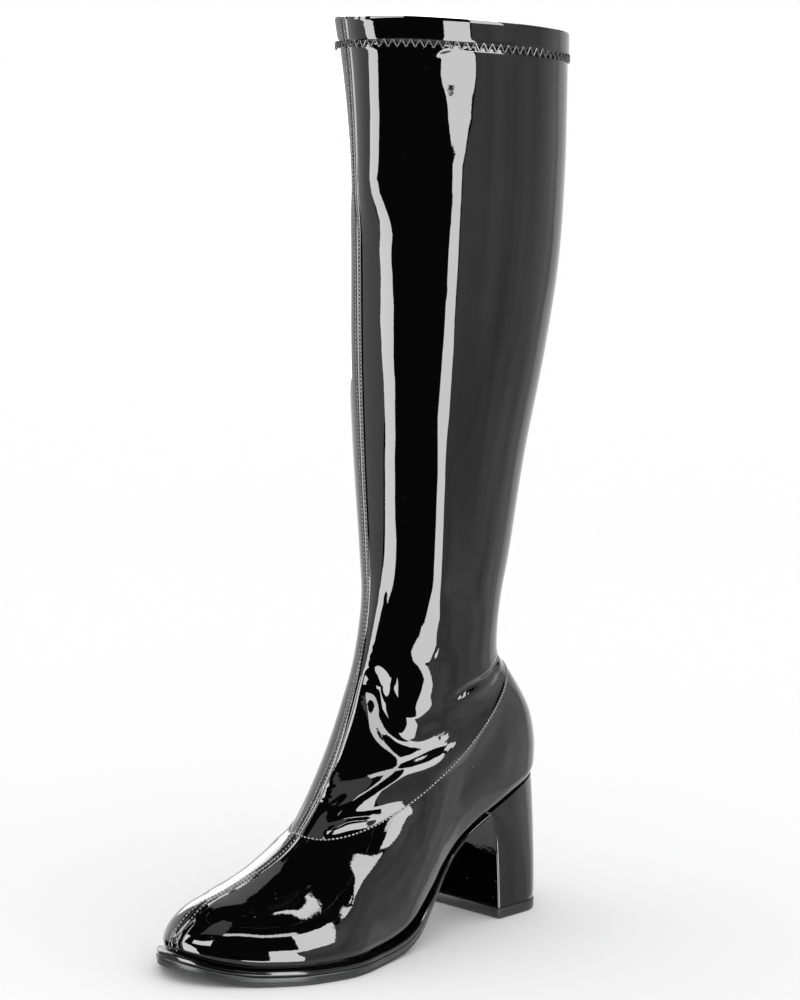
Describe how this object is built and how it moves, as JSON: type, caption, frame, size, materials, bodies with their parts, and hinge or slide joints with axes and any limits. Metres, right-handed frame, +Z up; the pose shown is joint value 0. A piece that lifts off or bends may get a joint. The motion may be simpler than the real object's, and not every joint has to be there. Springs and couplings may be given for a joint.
{
  "type": "go go boot",
  "caption": "Knee-high patent go go boot for the left foot, with a stretch shaft, an almond toe, a thin welted sole and a tall block heel.",
  "frame": {"origin": "middle of the heel tip's flat face, on the floor", "axes": "+Z up along the shaft, -Y towards the toe, +X towards the outer side of the foot"},
  "size_m": [0.1114, 0.2463, 0.4728],
  "materials": {
    "patent": "black patent, mirror gloss",
    "stretch_patent": "black stretch patent, mirror gloss",
    "lining": "matt black lining",
    "edge": "glossy black edge",
    "sole": "satin dark grey edge, matt tread",
    "heel_cover": "black patent cover",
    "heel_tip": "matt dark grey"
  },
  "bodies": {
    "root": {"foot_upper": "patent", "shaft": "stretch_patent", "insole": "lining", "welt": "edge", "outsole": "sole", "heel_block": "heel_cover", "heel_tip": "heel_tip"}
  },
  "joints": []
}
